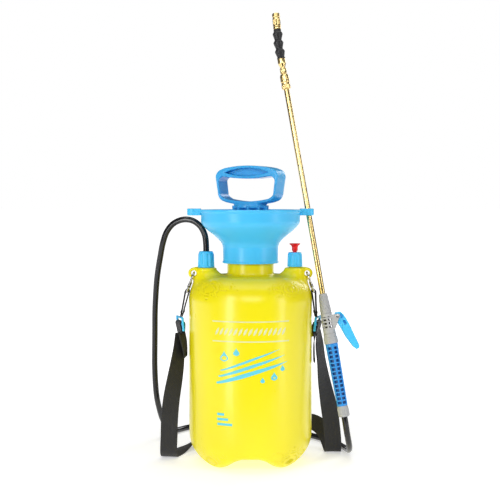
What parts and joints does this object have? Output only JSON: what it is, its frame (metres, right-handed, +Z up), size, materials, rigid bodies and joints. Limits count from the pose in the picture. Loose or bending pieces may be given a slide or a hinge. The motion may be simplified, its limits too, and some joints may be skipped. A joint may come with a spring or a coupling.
{
  "type": "garden pressure sprayer",
  "caption": "Hand-pumped garden pressure sprayer with a filling funnel, relief valve, hose, spray gun, telescopic brass lance and shoulder strap.",
  "frame": {"origin": "on the tank's axis at the surface it stands on", "axes": "+Z up, +X towards the side that carries the lance, -Y the front of the tank"},
  "size_m": [0.3072, 0.3315, 0.6601],
  "materials": {
    "yellow_plastic": "satin",
    "sky_plastic": "gloss",
    "handle_plastic": "gloss",
    "white_plastic": "satin",
    "grey_plastic": "satin",
    "red_plastic": "gloss",
    "black_rubber": "matte",
    "hose_vinyl": "gloss",
    "brass": "polished",
    "nickel": "polished",
    "webbing": "woven"
  },
  "bodies": {
    "tank": {"tank_shell": "yellow_plastic", "neck_seal": "black_rubber", "funnel": "sky_plastic", "lance_clip_left": "sky_plastic", "lance_clip_right": "sky_plastic", "outlet_fitting": "white_plastic", "outlet_seal": "black_rubber", "hose_outlet_nut": "sky_plastic", "dip_tube": "white_plastic", "dip_strainer": "handle_plastic", "relief_body": "white_plastic", "relief_seal_ring": "black_rubber", "relief_cap": "sky_plastic", "relief_spring": "nickel", "hose": "hose_vinyl", "grip_end_nut": "grey_plastic", "grip": "handle_plastic", "grip_filter": "white_plastic", "grip_collar": "grey_plastic", "gun_body": "grey_plastic", "trigger_pin": "nickel", "trigger_spring": "nickel", "lance_nut": "grey_plastic", "lance_tube": "brass", "snap_hook_left": "nickel", "snap_hook_right": "nickel", "webbing_loop_left": "webbing", "webbing_loop_right": "webbing", "buckle_left": "handle_plastic", "buckle_right": "handle_plastic", "shoulder_strap": "webbing", "strap_tail_left": "webbing", "strap_tail_right": "webbing"},
    "pump": {"pump_cap": "handle_plastic", "pump_cap_seal": "black_rubber", "rod_guide_bush": "white_plastic", "pump_cylinder": "white_plastic", "check_valve": "black_rubber"},
    "plunger": {"piston": "white_plastic", "piston_cup": "black_rubber"},
    "handle": {"piston_rod": "white_plastic", "pump_handle": "handle_plastic", "handle_pin": "nickel"},
    "relief": {"relief_disc": "black_rubber", "relief_knob": "red_plastic"},
    "trigger": {"trigger": "sky_plastic"},
    "valve": {"valve_plunger": "brass"},
    "lock_nut": {"lock_nut": "brass", "telescope_seal": "black_rubber"},
    "lance_top": {"lance_inner_tube": "brass", "nozzle_collar": "brass", "nozzle_adapter": "brass", "flex_bellows": "black_rubber"},
    "nozzle": {"nozzle_body": "brass", "nozzle_seal": "black_rubber"},
    "nozzle_cap": {"nozzle_cap": "brass"},
    "gate_left": {"hook_gate_left": "nickel"},
    "gate_right": {"hook_gate_right": "nickel"}
  },
  "joints": [
    {"name": "pump_lift", "type": "slide", "parent": "tank", "child": "pump", "axis": [0, 0, 1], "range_m": [0, 0.27]},
    {"name": "pump_stroke", "type": "slide", "parent": "pump", "child": "plunger", "axis": [0, 0, 1], "range_m": [0, 0.17]},
    {"name": "handle_turn", "type": "hinge", "parent": "plunger", "child": "handle", "pos_m": [0, 0, 0.352], "axis": [0, 0, 1], "continuous": true},
    {"name": "relief_pull", "type": "slide", "parent": "tank", "child": "relief", "axis": [0, 0, 1], "range_m": [0, 0.004], "stiffness_N_per_m": 1200, "deforming": ["relief_spring"]},
    {"name": "trigger_squeeze", "type": "hinge", "parent": "tank", "child": "trigger", "pos_m": [0.126, -0.0159, 0.21518], "axis": [0, 0.9945, -0.1045], "range_deg": [0, 18], "stiffness_Nm_per_rad": 0.4, "deforming": ["trigger_spring"]},
    {"name": "valve_lift", "type": "slide", "parent": "tank", "child": "valve", "axis": [-0.1702, 0.103, 0.98], "range_m": [0, 0.003]},
    {"name": "lock_nut_turn", "type": "hinge", "parent": "tank", "child": "lock_nut", "pos_m": [0.05131, 0.02009, 0.5576], "axis": [-0.1702, 0.103, 0.98], "range_deg": [0, 120]},
    {"name": "lance_extend", "type": "slide", "parent": "tank", "child": "lance_top", "axis": [-0.1702, 0.103, 0.98], "range_m": [0, 0.24]},
    {"name": "nozzle_flex", "type": "hinge", "parent": "lance_top", "child": "nozzle", "pos_m": [0.0414, 0.02608, 0.61464], "axis": [0, 0.9945, -0.1045], "range_deg": [-60, 60], "deforming": ["flex_bellows"]},
    {"name": "nozzle_adjust", "type": "hinge", "parent": "nozzle", "child": "nozzle_cap", "pos_m": [0.03837, 0.0297, 0.64912], "axis": [-0.0872, 0.1041, 0.9907], "range_deg": [0, 360]},
    {"name": "gate_left_open", "type": "hinge", "parent": "tank", "child": "gate_left", "pos_m": [-0.08835, 0.0049, 0.2623], "axis": [0.9397, 0, -0.342], "range_deg": [0, 22], "stiffness_Nm_per_rad": 0.05},
    {"name": "gate_right_open", "type": "hinge", "parent": "tank", "child": "gate_right", "pos_m": [0.08835, 0.0049, 0.2623], "axis": [0.9397, 0, 0.342], "range_deg": [0, 22], "stiffness_Nm_per_rad": 0.05}
  ],
  "couplings": [
    {"joint": "valve_lift", "follows": "trigger_squeeze", "m_per_rad": 0.0089}
  ]
}
